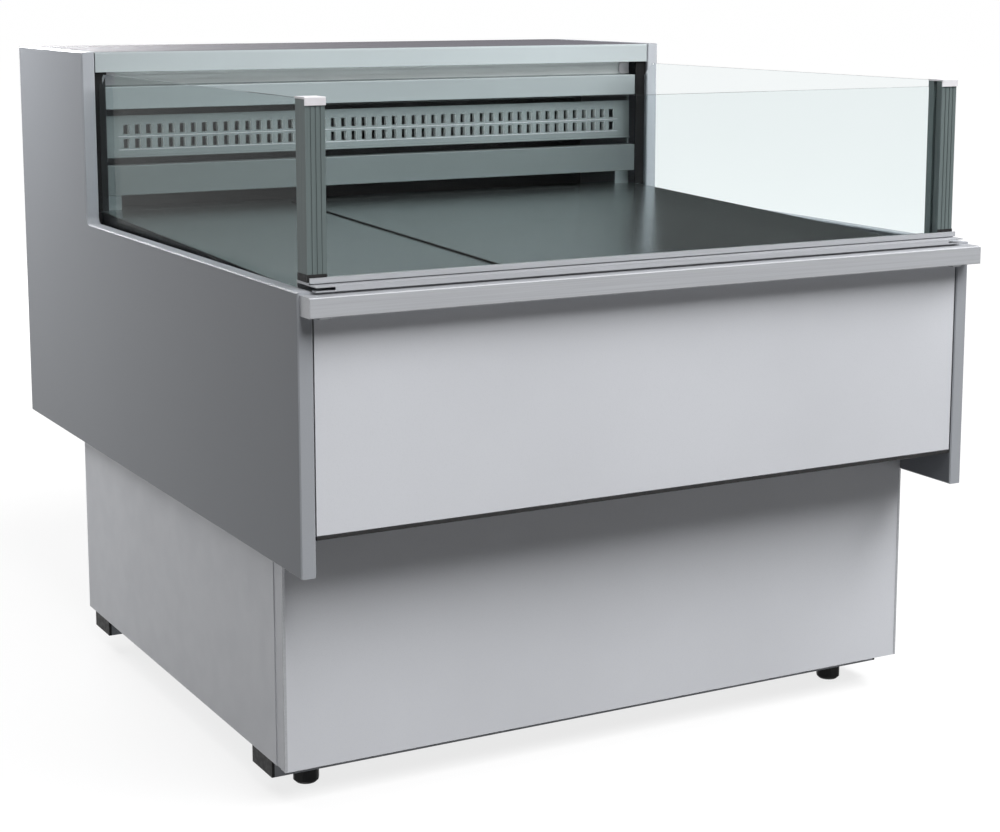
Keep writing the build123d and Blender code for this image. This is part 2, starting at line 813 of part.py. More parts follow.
def panel_screw(x, face, z):
    """Pan-head screw driven through a rear sheet, with a cross recess in its head."""
    head = rod((x, face, z), BACK, screw_head_radius, screw_head_height)
    rim = head.edges().filter_by(GeomType.CIRCLE).sort_by(Axis.Y)[-1]
    screw = fillet(rim, screw_head_height / 2) + rod((x, face, z), (0, -1, 0), screw_radius, screw_length)
    recess = Box(screw_recess_length, screw_recess_depth, screw_recess_width)
    recess += Box(screw_recess_width, screw_recess_depth, screw_recess_length)
    return screw - Pos(x, face + screw_head_height - screw_recess_depth / 2, z) * recess


def panel_screws():
    """Screws that hold the grille to the frame and the control plate to the rear panel."""
    screws = [panel_screw(x, rear_face, z) for x, z in control_screws]
    for x in (-grille_screw_x, grille_screw_x):
        screws += [panel_screw(x, plinth_rear, z) for z in grille_screw_rows]
    return Compound(children=screws)


def front_bumper():
    """Bumper rail: a channel closed to the front, with a small hook near each end."""
    half = half_length + end_panel_thickness - bumper_end_inset
    low = rail_seat - bumper_height
    rail = block(-half, half, front - bumper_depth, front, low, rail_seat)
    rail = chamfer(rail.faces().sort_by(Axis.Y)[0].edges(), bumper_edge)
    rail -= block(-half + bumper_wall, half - bumper_wall, front - bumper_depth + bumper_wall, front,
                  low + bumper_wall, rail_seat - bumper_wall)
    for side in (-1, 1):
        x = side * (half - hook_inset)
        rail += block(x - hook_width / 2, x + hook_width / 2, front - hook_depth, front,
                      low - hook_drop, low + bumper_wall)
    return rail


def top_rail():
    """Flat hollow rail, its nose held off the bumper and cut back at both ends."""
    rail_front = front - top_rail_overhang
    wall = top_rail_wall
    nose_low = rail_seat + top_rail_lift
    outline = [(rail_front, nose_low), (front, nose_low), (front, rail_seat), (channel_rear, rail_seat),
               (channel_rear, top_rail_top), (rail_front, top_rail_top)]
    hollow = [(rail_front + wall, nose_low + wall), (front + wall, nose_low + wall),
              (front + wall, rail_seat + wall), (channel_rear - wall, rail_seat + wall),
              (channel_rear - wall, top_rail_top - wall), (rail_front + wall, top_rail_top - wall)]
    rail = along_x(outline, -half_length, half_length) - along_x(hollow, -half_length, half_length)
    for side in (-1, 1):
        x_low, x_high = sorted((side * (half_length - top_rail_cutback), side * half_length))
        rail -= block(x_low, x_high, rail_front, rail_front + wall, nose_low + wall, top_rail_top - wall)
    return rail


def glass_channel():
    """Channel that holds the front glass between the posts, its front lip just clear of the rail."""
    top = top_rail_top + channel_height
    lip_low = top_rail_top + channel_lift
    channel = block(-half_length, half_length, channel_front + channel_tuck, channel_rear,
                    top_rail_top, channel_floor)
    channel += block(-half_length, half_length, channel_front, channel_front + channel_lip, lip_low, top)
    channel += block(-half_length, half_length, channel_front, channel_front + channel_tuck,
                     lip_low, channel_floor)
    return channel + block(-post_inner, post_inner, channel_rear - channel_lip, channel_rear,
                           top_rail_top, top_rail_top + channel_rear_height)


def corner_post():
    """Right post: a bar grooved in front, with one slot for the front glass and one for the side."""
    post = block(post_inner, half_length, post_front, post_rear, channel_floor, post_top)
    cuts = [block(post_inner, post_inner + glass_groove, front_glass_front - fit_gap,
                  front_glass_front + glass_thickness + fit_gap, channel_floor, post_top),
            block(side_glass_inner - fit_gap, side_glass_outer + fit_gap, post_rear - glass_groove,
                  post_rear, channel_floor, post_top)]
    for index in (-1, 0, 1):
        x = (post_inner + half_length) / 2 + index * post_groove_pitch
        cuts.append(block(x - post_groove_width / 2, x + post_groove_width / 2, post_front,
                          post_front + post_groove_depth, channel_floor, post_top))
    return post - cuts


def post_cap():
    """Cap of the right post: a plate over its top, folded down in front."""
    x_low = post_inner - cap_overhang
    x_high = half_length + cap_overhang
    skirt_front = post_front - cap_skirt_sheet
    plate = block(x_low, x_high, skirt_front, post_rear, post_top, post_top + cap_plate)
    cap = plate + block(x_low, x_high, skirt_front, post_front, post_top - cap_skirt, post_top)
    fold = cap.edges().filter_by(Axis.X).sort_by_distance((half_length, front, overall_height))[0]
    return fillet(fold, cap_skirt_sheet / 2)


def front_glass():
    """Front pane between the posts."""
    half = post_inner + glass_groove - fit_gap
    return block(-half, half, front_glass_front, front_glass_front + glass_thickness, channel_floor,
                 channel_floor + front_glass_height)


def side_glass():
    """Right pane, stepped over the rails, with its rear top corner cut off."""
    pane_front = post_rear - glass_groove + fit_gap
    behind_rails = tub_inner_front + fit_gap
    outline = [(pane_front, channel_floor), (behind_rails, channel_floor), (behind_rails, end_wall_top),
               (step_y, end_wall_top), (step_y, post_top - side_glass_cut_height),
               (step_y - side_glass_cut_depth, post_top), (pane_front, post_top)]
    return along_x(outline, side_glass_inner, side_glass_outer)


# Display deck and air duct

def deck_panel(x_low, x_high):
    """Removable deck piece: a sheet with its four edges folded down."""
    depth = deck_sheet + deck_flange
    panel = block(x_low, x_high, -deck_length, 0, -depth, 0)
    panel -= block(x_low + deck_sheet, x_high - deck_sheet, -deck_length + deck_sheet, -deck_sheet,
                   -depth, -deck_sheet)
    return on_slope(panel)


def deck_supports():
    """Three angle bars between the end walls, under the folded edges of the deck."""
    top = -deck_sheet - deck_flange
    bars = []
    for y in (-deck_length + support_inset, -deck_length / 2, -support_inset):
        upright = block(-end_wall_inner, end_wall_inner, y, y + deck_sheet, top - support_height, top)
        ledge = block(-end_wall_inner, end_wall_inner, y, y + support_foot, top - deck_sheet, top)
        bars.append(on_slope(upright + ledge))
    return Compound(children=bars)


def rear_deck_strip():
    """Fixed strip behind the deck, folded down at its front, that carries the duct brackets."""
    low = deck_rear_top - strip_flange
    strip = block(-end_wall_inner, end_wall_inner, air_box_front, air_box_front + strip_depth,
                  deck_rear_top - deck_sheet, deck_rear_top)
    return strip + block(-end_wall_inner, end_wall_inner, air_box_front, air_box_front + deck_sheet,
                         low, deck_rear_top)


def duct_bracket():
    """Right upright behind the air boxes: a wide foot up to the lower box and a thin cheek above it."""
    foot_leaf = block(air_box_half - duct_bracket_width, air_box_half, air_box_rear,
                      air_box_rear + duct_bracket_sheet, deck_rear_top, lower_box_top)
    return foot_leaf + block(air_box_half - duct_bracket_sheet, air_box_half, air_box_rear,
                             air_box_rear + duct_cheek_depth, deck_rear_top, canopy_top)


def air_box(z_low, z_high):
    """Folded box, open at the back, fixed to the duct brackets."""
    box = block(-air_box_half, air_box_half, air_box_front, air_box_rear, z_low, z_high)
    folds = box.edges().filter_by(Axis.X).group_by(Axis.Y)[0]
    box = fillet(folds, fold_radius)
    return box - block(-air_box_half + sheet, air_box_half - sheet, air_box_front + sheet, air_box_rear,
                       z_low + sheet, z_high - sheet)


def slotted_air_panel():
    """Sheet between the air boxes, with two rows of slots, tabs behind them and a lip at the bottom."""
    low = air_panel_middle - air_panel_height / 2
    panel = block(-air_box_half, air_box_half, air_box_rear - sheet, air_box_rear,
                  low, low + air_panel_height)
    panel += block(-air_box_half, air_box_half, air_box_rear - sheet - air_panel_lip, air_box_rear,
                   low, low + sheet)
    half_rows = (slot_row_pitch + slot_height) / 2
    columns = int(2 * (air_box_half - slot_margin) / slot_pitch)
    cuts = []
    tabs = []
    for column in range(columns):
        x = (column - (columns - 1) / 2) * slot_pitch
        tab_x = x + slot_width / 2
        if column < columns - 1:
            tabs.append(block(tab_x, tab_x + slot_tab_sheet, air_box_rear, air_box_rear + slot_tab_depth,
                              air_panel_middle - half_rows, air_panel_middle + half_rows))
        for row in (-1, 1):
            z = air_panel_middle + row * slot_row_pitch / 2
            cuts.append(block(x - slot_width / 2, x + slot_width / 2, air_box_rear - sheet, air_box_rear,
                              z - slot_height / 2, z + slot_height / 2))
    return panel - cuts + tabs


def lamp_housing():
    """Channel under the worktop, open to the front, that holds the lamp."""
    y_low = air_box_rear
    housing = block(-air_box_half, air_box_half, y_low, y_low + lamp_depth, canopy_top, worktop_bottom)
    return housing - block(-air_box_half + sheet, air_box_half - sheet, y_low, y_low + lamp_depth - sheet,
                           canopy_top + sheet, worktop_bottom - sheet)


def lamp_diffuser():
    """Light-spreading strip in the mouth of the lamp housing, with two ribs along it."""
    half = air_box_half - sheet
    y_low = air_box_rear + diffuser_rib
    strip = block(-half, half, y_low, y_low + diffuser_thickness, canopy_top + sheet, worktop_bottom - sheet)
    middle = (canopy_top + worktop_bottom) / 2
    for side in (-1, 1):
        z = middle + side * diffuser_rib_pitch / 2
        strip += block(-half, half, air_box_rear, y_low, z - diffuser_rib_width / 2,
                       z + diffuser_rib_width / 2)
    return strip


def worktop():
    """Board on the back of the case, its front edge over the air duct."""
    half = half_length - worktop_end_gap
    board = block(-half, half, step_y + worktop_front_overlap, rear, worktop_bottom, overall_height)
    edge = board.edges().filter_by(Axis.X).sort_by_distance((0, front, overall_height))[0]
    return fillet(edge, min(worktop_edge_radius, worktop_thickness / 3))


# Controls

def button_x(index):
    """Middle of one controller button."""
    return controller_x + button_first_offset + index * button_pitch


def rocker_x(index):
    """Middle of one rocker switch."""
    return control_x + rocker_first_offset + index * rocker_pitch


def control_plate():
    """Recessed plate behind the window of the rear panel, with wells for the rockers."""
    half_width = control_width / 2
    half_height = control_height / 2
    back = control_face - control_sheet
    plate = block(control_x - half_width - control_flange, control_x + half_width + control_flange,
                  back, rear_face - sheet, control_z - half_height - control_flange,
                  control_z + half_height + control_flange)
    plate -= block(control_x - half_width, control_x + half_width, control_face, rear_face - sheet,
                   control_z - half_height, control_z + half_height)
    for x, z in control_screws:
        plate -= rod((x, back, z), BACK, screw_radius + thread_gap, rear_face - sheet - back)
    half_hole = controller_width / 2 - controller_rim
    half_hole_height = controller_height / 2 - controller_rim
    plate -= block(controller_x - half_hole, controller_x + half_hole, back, control_face,
                   control_z - half_hole_height, control_z + half_hole_height)
    for index in (0, 1):
        plate = with_rocker_well(plate, rocker_x(index))
    return plate


def with_rocker_well(plate, x):
    """Cut a rocker's opening into the plate and add the well and pivot pin behind it."""
    half_width = rocker_width / 2 + fit_gap
    half_height = rocker_length / 2 + rocker_gap
    wall = rocker_well_wall
    back = control_face - rocker_well
    plate += block(x - half_width - wall, x + half_width + wall, back - wall, control_face,
                   control_z - half_height - wall, control_z + half_height + wall)
    plate -= block(x - half_width, x + half_width, back, control_face,
                   control_z - half_height, control_z + half_height)
    pin = rod((x - half_width - wall, control_face - rocker_pin_drop, control_z), RIGHT,
              rocker_pin_radius, 2 * (half_width + wall))
    return plate + pin


def rocker(index):
    """Rocker with a dished face, tilted to its off position about its pin."""
    half = rocker_length / 2
    half_base = rocker_base_length / 2
    x = rocker_x(index)
    outline = [(0, 0), (rocker_dish, half), (-rocker_depth, half_base),
               (-rocker_depth, -half_base), (rocker_dish, -half)]
    body = along_x(outline, -rocker_width / 2, rocker_width / 2)
    body = Pos(0, rocker_pin_drop, 0) * body
    body -= rod((-rocker_width / 2, 0, 0), RIGHT, rocker_pin_radius + rocker_pin_gap, rocker_width)
    return Pos(x, control_face - rocker_pin_drop, control_z) * Rot(X=-rocker_tilt) * body


def temperature_controller():
    """Panel instrument: bezel with a display window and button wells, and a body behind it."""
    half_width = controller_width / 2
    half_height = controller_height / 2
    bezel_face = control_face + controller_bezel
    bezel = block(controller_x - half_width, controller_x + half_width, control_face, bezel_face,
                  control_z - half_height, control_z + half_height)
    rim = controller_rim + fit_gap
    body = block(controller_x - half_width + rim, controller_x + half_width - rim,
                 control_face - controller_body_depth, control_face,
                 control_z - half_height + rim, control_z + half_height - rim)
    display_x = controller_x + display_offset
    cuts = [block(display_x - display_width / 2, display_x + display_width / 2,
                  bezel_face - display_recess, bezel_face,
                  control_z - display_height / 2, control_z + display_height / 2)]
    half_button = button_width / 2 + fit_gap
    half_button_height = button_height / 2 + fit_gap
    well = bezel_face + button_proud - button_depth - button_well
    for index in range(3):
        cuts.append(block(button_x(index) - half_button, button_x(index) + half_button, well, bezel_face,
                          control_z - half_button_height, control_z + half_button_height))
    return bezel + body - cuts


def controller_button(index):
    """One push button of the controller, standing proud of the bezel."""
    face = control_face + controller_bezel + button_proud
    x = button_x(index)
    return block(x - button_width / 2, x + button_width / 2, face - button_depth, face,
                 control_z - button_height / 2, control_z + button_height / 2)


right_plugs = [beam_plug(y) for y in (front_beam_y, rear_beam_y)]

nodes = {
    "base_beams": Compound(children=[base_beam(front_beam_y, front_beam_y),
                                     base_beam(rear_beam_y, rear_foot_y)]),
    "beam_end_plugs": Compound(children=right_plugs + [mirrored(plug) for plug in right_plugs]),
    "foot_front_left": foot(-foot_x, front_beam_y),
    "foot_front_right": foot(foot_x, front_beam_y),
    "foot_rear_left": foot(-foot_x, rear_foot_y),
    "foot_rear_right": foot(foot_x, rear_foot_y),
    "machine_tray": machine_tray(),
    "support_frame": support_frame(),
    "plinth_front_panel": plinth_front_panel(),
    "plinth_side_panels": pair(plinth_side_panel()),
    "rear_grille": rear_grille(),
    "compressor": compressor(),
    "compressor_grommets": compressor_grommets(),
    "condenser_coil": condenser_coil(),
    "condenser_shroud": condenser_shroud(),
    "condenser_fan_motor": fan_motor(condenser_fan_middle, condenser_fan_opening),
    "condenser_fan": axial_fan(condenser_fan_middle, condenser_fan_radius, condenser_fan_hub,
                               condenser_blade_width),
    "refrigerant_pipes": refrigerant_pipes(),
    "condensate_tray": condensate_tray(),
    "drain_spout": drain_spout(),
    "cable_gland": cable_gland(),
    "left_end_panel": mirrored(end_panel()),
    "right_end_panel": end_panel(),
    "tub_floor": tub_floor(),
    "tub_front_wall": tub_front_wall(),
    "tub_rear_wall": tub_rear_wall(),
    "tub_end_walls": pair(end_wall()),
    "front_panel": front_panel(),
    "rear_panel": rear_panel(),
    "panel_screws": panel_screws(),
    "front_bumper": front_bumper(),
    "top_rail": top_rail(),
    "glass_channel": glass_channel(),
    "corner_posts": pair(corner_post()),
    "post_caps": pair(post_cap()),
    "front_glass": front_glass(),
    "side_glasses": pair(side_glass()),
    "deck_left": deck_panel(-deck_half, deck_seam_x - deck_seam_gap / 2),
    "deck_right": deck_panel(deck_seam_x + deck_seam_gap / 2, deck_half),
    "deck_supports": deck_supports(),
    "rear_deck_strip": rear_deck_strip(),
    "duct_brackets": pair(duct_bracket()),
    "lower_air_box": air_box(lower_box_bottom, lower_box_top),
    "slotted_air_panel": slotted_air_panel(),
    "air_canopy": air_box(canopy_bottom, canopy_top),
    "lamp_housing": lamp_housing(),
    "lamp_diffuser": lamp_diffuser(),
    "worktop": worktop(),
    "evaporator_coil": evaporator_coil(),
    "evaporator_fan_plate": evaporator_fan_plate(),
    "evaporator_fan_motors": Compound(children=[
        fan_motor((x, fan_plate_y, evaporator_fan_z), evaporator_fan_opening) for x in (-fan_x, fan_x)]),
    "evaporator_fan_left": evaporator_fan(-fan_x),
    "evaporator_fan_right": evaporator_fan(fan_x),
    "control_plate": control_plate(),
    "temperature_controller": temperature_controller(),
    "set_button": controller_button(0),
    "up_button": controller_button(1),
    "down_button": controller_button(2),
    "power_rocker": rocker(0),
    "light_rocker": rocker(1),
}

os.makedirs("parts", exist_ok=True)
for name, solid in nodes.items():
    export_step(solid, f"parts/{name}.step")
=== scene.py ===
import math

import bmesh
import bpy
from mathutils import Matrix, Vector


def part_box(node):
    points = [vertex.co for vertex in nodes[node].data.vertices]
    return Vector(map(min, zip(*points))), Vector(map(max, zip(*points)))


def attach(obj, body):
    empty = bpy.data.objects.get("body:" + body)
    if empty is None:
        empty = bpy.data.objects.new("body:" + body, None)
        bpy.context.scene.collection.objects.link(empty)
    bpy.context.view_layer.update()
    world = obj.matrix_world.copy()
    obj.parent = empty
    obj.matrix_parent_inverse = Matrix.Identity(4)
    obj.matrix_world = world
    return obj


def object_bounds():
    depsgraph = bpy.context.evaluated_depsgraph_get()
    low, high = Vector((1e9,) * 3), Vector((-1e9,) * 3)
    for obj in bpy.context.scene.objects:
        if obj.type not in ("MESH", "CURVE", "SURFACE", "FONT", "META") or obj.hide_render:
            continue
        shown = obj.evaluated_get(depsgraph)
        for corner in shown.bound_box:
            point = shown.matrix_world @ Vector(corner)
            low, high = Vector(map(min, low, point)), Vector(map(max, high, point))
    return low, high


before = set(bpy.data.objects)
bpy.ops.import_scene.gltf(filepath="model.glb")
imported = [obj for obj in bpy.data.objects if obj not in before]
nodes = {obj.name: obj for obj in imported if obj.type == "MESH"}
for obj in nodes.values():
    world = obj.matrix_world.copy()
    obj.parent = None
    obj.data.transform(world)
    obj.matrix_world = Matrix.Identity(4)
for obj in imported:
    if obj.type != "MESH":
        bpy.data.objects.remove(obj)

cad_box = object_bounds()

# Lengths are in metres
X, Y, Z = range(3)
WHITE = (1.0, 1.0, 1.0, 1.0)

# Camera, as the photograph was taken: from the front left and a little above the worktop
CAMERA_PLACE = Vector((-1.464, -2.801, 1.053))
CAMERA_YAW = math.radians(28.64)
CAMERA_PITCH = math.radians(9.13)
CAMERA_SENSOR = 36.0
CAMERA_LENS = 2.048 * CAMERA_SENSOR
CAMERA_SHIFT = -0.10

# Studio
FLOOR_HALF = 400.0
FLOOR_GAP = 0.0005
FLOOR_TONE = 0.17
FLOOR_GLOW_NEAR = 0.79
FLOOR_GLOW_FAR = 0.99
FLOOR_GLOW_START = 1.2
FLOOR_GLOW_END = 6.0
ROOM_FILL = 0.05
LAMP_TARGET = Vector((0.0, 0.0, 0.45))
NEAR_LAMP = 2.0
CORNER_DIRECTION = math.radians(42.0)
CORNER_CORE = math.radians(16.0)
CORNER_EDGE = math.radians(28.0)
CORNER_TOP_START = 0.45
CORNER_TOP_END = 0.75
CORNER_TONE = 0.06


# Shader nodes

# A wave texture repeats after this length when its scale is 1
WAVE_PERIOD = math.pi / 10
# The mix node has several sockets of each name, so its colour sockets go by number
MIX_FIRST = 6
MIX_SECOND = 7
MIX_RESULT = 2
# Share of an axis in a normal where a face starts to count as square to it, and where it fully does
SQUARE_START = 0.75
SQUARE_END = 0.95


def srgb(red, green, blue):
    """A colour as a picture gives it, 0 to 255, as linear light with full alpha."""
    linear = []
    for level in (red, green, blue):
        share = level / 255
        linear.append(share / 12.92 if share <= 0.04045 else ((share + 0.055) / 1.055) ** 2.4)
    return (*linear, 1.0)


def shade(colour, factor):
    """The colour made lighter or darker by a factor."""
    return tuple(min(level * factor, 1.0) for level in colour[:3]) + (1.0,)


def feed(tree, socket, value):
    """Links an output to a socket, or sets the socket to a number or colour."""
    if isinstance(value, bpy.types.NodeSocket):
        tree.links.new(value, socket)
    else:
        socket.default_value = value


def math_node(tree, operation, first, second=0.0):
    """One sum on two outputs or numbers."""
    node = tree.nodes.new("ShaderNodeMath")
    node.operation = operation
    feed(tree, node.inputs[0], first)
    feed(tree, node.inputs[1], second)
    return node.outputs[0]


def map_range(tree, value, start, end, low, high):
    """Map range node that takes start to end onto low to high."""
    ranger = tree.nodes.new("ShaderNodeMapRange")
    tree.links.new(value, ranger.inputs["Value"])
    for socket, level in (("From Min", start), ("From Max", end), ("To Min", low), ("To Max", high)):
        ranger.inputs[socket].default_value = level
    return ranger


class Finish:
    """A material round one principled shader, with its texture in the object's own space."""

    def __init__(self, name, **sockets):
        self.material = bpy.data.materials.new(name)
        self.material.use_nodes = True
        self.tree = self.material.node_tree
        self.shader = self.tree.nodes["Principled BSDF"]
        self.space = self.add("ShaderNodeTexCoord")
        for socket, value in sockets.items():
            self.shader.inputs[socket.replace("_", " ").title().replace("Ior", "IOR")].default_value = value

    def add(self, kind):
        return self.tree.nodes.new(kind)

    def join(self, source, target):
        self.tree.links.new(source, target)

    def stretched(self, size, stretch):
        """Object coordinates, where one unit is a feature of this size."""
        mapping = self.add("ShaderNodeMapping")
        mapping.inputs["Scale"].default_value = [1 / (size * along) for along in stretch]
        self.join(self.space.outputs["Object"], mapping.inputs["Vector"])
        return mapping.outputs["Vector"]

    def noise(self, size, stretch=(1, 1, 1), detail=2.0):
        texture = self.add("ShaderNodeTexNoise")
        texture.inputs["Scale"].default_value = 1.0
        texture.inputs["Detail"].default_value = detail
        self.join(self.stretched(size, stretch), texture.inputs["Vector"])
        return texture.outputs["Fac"]

    def crystals(self, size):
        """A random grey level for each crystal of this size."""
        texture = self.add("ShaderNodeTexVoronoi")
        texture.inputs["Scale"].default_value = 1.0
        self.join(self.stretched(size, (1, 1, 1)), texture.inputs["Vector"])
        return self.spread(texture.outputs["Color"], 0.0, 1.0, start=0.1, end=0.9)

    def bands(self, pitch, direction):
        """Even ridges across one axis."""
        texture = self.add("ShaderNodeTexWave")
        texture.bands_direction = direction
        texture.inputs["Scale"].default_value = WAVE_PERIOD
        self.join(self.stretched(pitch, (1, 1, 1)), texture.inputs["Vector"])
        return texture.outputs["Fac"]

    def square_to(self, axis):
        """0 on faces turned away from an axis of the object and 1 on those square to it."""
        split = self.add("ShaderNodeSeparateXYZ")
        self.join(self.space.outputs["Normal"], split.inputs["Vector"])
        share = math_node(self.tree, "ABSOLUTE", split.outputs[axis])
        return self.spread(share, 0.0, 1.0, start=SQUARE_START, end=SQUARE_END)

    def spread(self, value, low, high, start=0.35, end=0.65):
        """Maps the middle of a texture's range onto low to high."""
        return map_range(self.tree, value, start, end, low, high).outputs["Result"]

    def patches(self, size, most, start, end=0.75, detail=2.0):
        """Loose patches of noise, 0 between them and at most this strong."""
        return self.spread(self.noise(size, detail=detail), 0.0, most, start, end)

    def blend(self, share, first, second):
        mix = self.add("ShaderNodeMix")
        mix.data_type = "RGBA"
        feed(self.tree, mix.inputs["Factor"], share)
        feed(self.tree, mix.inputs[MIX_FIRST], first)
        feed(self.tree, mix.inputs[MIX_SECOND], second)
        return mix.outputs[MIX_RESULT]

    def mottle(self, colour, size, depth, stretch=(1, 1, 1), detail=2.0):
        """The colour with a soft lighter and darker pattern."""
        share = self.spread(self.noise(size, stretch, detail), 0.0, 1.0)
        return self.blend(share, shade(colour, 1 - depth), shade(colour, 1 + depth))

    def colour(self, source):
        self.join(source, self.shader.inputs["Base Color"])

    def roughness(self, size, low, high, stretch=(1, 1, 1)):
        self.join(self.spread(self.noise(size, stretch), low, high), self.shader.inputs["Roughness"])

    def bump(self, height, depth, strength):
        bump = self.add("ShaderNodeBump")
        bump.inputs["Strength"].default_value = strength
        bump.inputs["Distance"].default_value = depth
        self.join(height, bump.inputs["Height"])
        self.join(bump.outputs["Normal"], self.shader.inputs["Normal"])


# Finishes

CLOUD = 0.30
SPECK = 0.0016
PEEL = 0.0030
DIE_LINE = 0.0012
DIE_LINE_STRETCH = 120.0
ROLLING_LINE = 0.0011
ROLLING_STRETCH = 90.0
FIN_PITCH = 0.0032
PRISM_PITCH = 0.0025
GLASS_CLEAR = (0.905, 0.938, 0.940, 1.0)
GLASS_DEEP = (0.45, 0.50, 0.495, 1.0)
DUCT_METAL = 0.35


def powder_coat(name, colour, gloss=0.42):
    """Baked sheet-metal paint: faint clouds, fine specks and orange peel."""
    finish = Finish(name, specular_ior_level=0.3)
    base = finish.mottle(colour, CLOUD, depth=0.025, detail=3.0)
    specks = finish.patches(SPECK, most=0.35, start=0.55)
    finish.colour(finish.blend(specks, base, shade(colour, 0.88)))
    finish.roughness(0.03, low=gloss - 0.05, high=gloss + 0.05)
    finish.bump(finish.noise(PEEL), depth=0.00012, strength=0.5)
    return finish.material


def end_panel_finish():
    """Smooth darker coating on the broad faces, lighter lipping round the edges."""
    face = srgb(119, 122, 127)
    lipping = srgb(150, 153, 158)
    finish = Finish("End panel coating", specular_ior_level=0.12)
    broad = finish.square_to("X")
    face_tone = finish.mottle(face, CLOUD, depth=0.012)
    lipping_tone = finish.mottle(lipping, SPECK, depth=0.015)
    finish.colour(finish.blend(broad, lipping_tone, face_tone))
    finish.roughness(SPECK, low=0.36, high=0.42)
    finish.bump(finish.noise(PEEL), depth=0.00003, strength=0.3)
    return finish.material


def worktop_finish():
    """Pale front edge, darker matt top."""
    edge = srgb(148, 155, 157)
    top = srgb(86, 85, 90)
    finish = Finish("Worktop laminate", specular_ior_level=0.06)
    level = finish.square_to("Z")
    top_specks = finish.mottle(top, 0.003, depth=0.05, detail=4.0)
    finish.colour(finish.blend(level, finish.mottle(edge, CLOUD, depth=0.02), top_specks))
    finish.roughness(0.02, low=0.55, high=0.68)
    finish.bump(finish.noise(0.002), depth=0.00010, strength=0.4)
    return finish.material


def drawn_aluminium(name, colour, metal, gloss, axis, shine=0.5):
    """Satin anodised extrusion, with fine die lines along its length."""
    along = [1.0, 1.0, 1.0]
    along[axis] = DIE_LINE_STRETCH
    finish = Finish(name, metallic=metal, specular_ior_level=shine)
    finish.colour(finish.mottle(colour, SPECK, depth=0.05, stretch=along))
    finish.roughness(DIE_LINE, low=gloss - 0.06, high=gloss + 0.06, stretch=along)
    finish.bump(finish.noise(DIE_LINE, along), depth=0.00004, strength=0.4)
    return finish.material


def moulded_plastic(name, colour, gloss=0.45, shine=0.5):
    """Moulded plastic with a fine spark-eroded grain."""
    finish = Finish(name, specular_ior_level=shine)
    finish.colour(finish.mottle(colour, 0.02, depth=0.06, detail=3.0))
    finish.roughness(0.006, low=gloss - 0.07, high=gloss + 0.07)
    finish.bump(finish.noise(0.0009, detail=3.0), depth=0.00010, strength=0.5)
    return finish.material


def black_rubber():
    """Matt rubber, a little dusty."""
    rubber = srgb(26, 26, 27)
    finish = Finish("Black rubber", specular_ior_level=0.3)
    dust = finish.patches(0.012, most=0.35, start=0.5, detail=4.0)
    finish.colour(finish.blend(dust, rubber, srgb(58, 57, 56)))
    finish.roughness(0.004, low=0.60, high=0.80)
    finish.bump(finish.noise(0.0012, detail=3.0), depth=0.00015, strength=0.5)
    return finish.material


def tinted_glass():
    """Float glass with a faint green-grey tint, deeper where it is seen at a flat angle."""
    finish = Finish("Guard glass", transmission_weight=1.0, ior=1.07)
    slant = finish.add("ShaderNodeLayerWeight")
    slant.inputs["Blend"].default_value = 0.5
    flat_on = finish.spread(slant.outputs["Facing"], 0.0, 1.0, start=0.45, end=0.71)
    clear = finish.mottle(GLASS_CLEAR, 0.5, depth=0.006)
    finish.colour(finish.blend(flat_on, clear, GLASS_DEEP))
    finish.roughness(0.2, low=0.0, high=0.0015)
    return finish.material


def deck_steel():
    """Satin stainless sheet, rolled from side to side."""
    along = (ROLLING_STRETCH, 1.0, 1.0)
    finish = Finish("Satin stainless steel", metallic=1.0)
    base = srgb(188, 196, 196)
    clouds = finish.patches(0.12, most=0.25, start=0.45, detail=4.0)
    rolled = finish.mottle(base, ROLLING_LINE, depth=0.02, stretch=along)
    finish.colour(finish.blend(clouds, rolled, shade(base, 0.93)))
    finish.roughness(0.0012, low=0.22, high=0.27, stretch=along)
    finish.bump(finish.noise(ROLLING_LINE, along), depth=0.00002, strength=0.04)
    return finish.material


def zinc_sheet():
    """Hot-dip galvanised steel with its crystals."""
    zinc = srgb(176, 180, 184)
    finish = Finish("Galvanised steel", metallic=0.75)
    base = finish.blend(finish.crystals(0.011), shade(zinc, 0.86), shade(zinc, 1.08))
    dull = finish.patches(0.08, most=0.4, start=0.5, detail=4.0)
    finish.colour(finish.blend(dull, base, shade(zinc, 0.72)))
    finish.roughness(0.02, low=0.34, high=0.52)
    finish.bump(finish.noise(0.004), depth=0.00006, strength=0.4)
    return finish.material


def beam_steel():
    """Dull galvanised tube of the base."""
    dull = srgb(138, 140, 144)
    finish = Finish("Dull galvanised tube", metallic=0.15, specular_ior_level=0.15)
    finish.colour(finish.blend(finish.crystals(0.009), shade(dull, 0.90), shade(dull, 1.08)))
    finish.roughness(0.02, low=0.45, high=0.60)
    finish.bump(finish.noise(0.004), depth=0.00006, strength=0.4)
    return finish.material


def coil_aluminium():
    """Stacked aluminium fins, seen edge on, with painted shade in the gaps between them."""
    fins = srgb(188, 192, 195)
    finish = Finish("Aluminium fins", metallic=0.8)
    fin_ridges_and_gap_shade = finish.bands(FIN_PITCH, "X")
    # The darker bands are painted shade in the gaps between the fins; the same bands give the fins their
    # relief
    finish.colour(finish.blend(fin_ridges_and_gap_shade, shade(fins, 0.35), fins))
    finish.roughness(0.01, low=0.32, high=0.45)
    finish.bump(fin_ridges_and_gap_shade, depth=0.0006, strength=0.8)
    return finish.material


def copper_tube():
    """Drawn copper with brown oxide patches."""
    bright = srgb(198, 124, 88)
    finish = Finish("Copper tube", metallic=1.0)
    oxide = finish.patches(0.025, most=0.7, start=0.45, end=0.7, detail=4.0)
    finish.colour(finish.blend(oxide, bright, srgb(122, 68, 46)))
    finish.roughness(0.01, low=0.22, high=0.42)
    finish.bump(finish.noise(0.003), depth=0.00008, strength=0.3)
    return finish.material


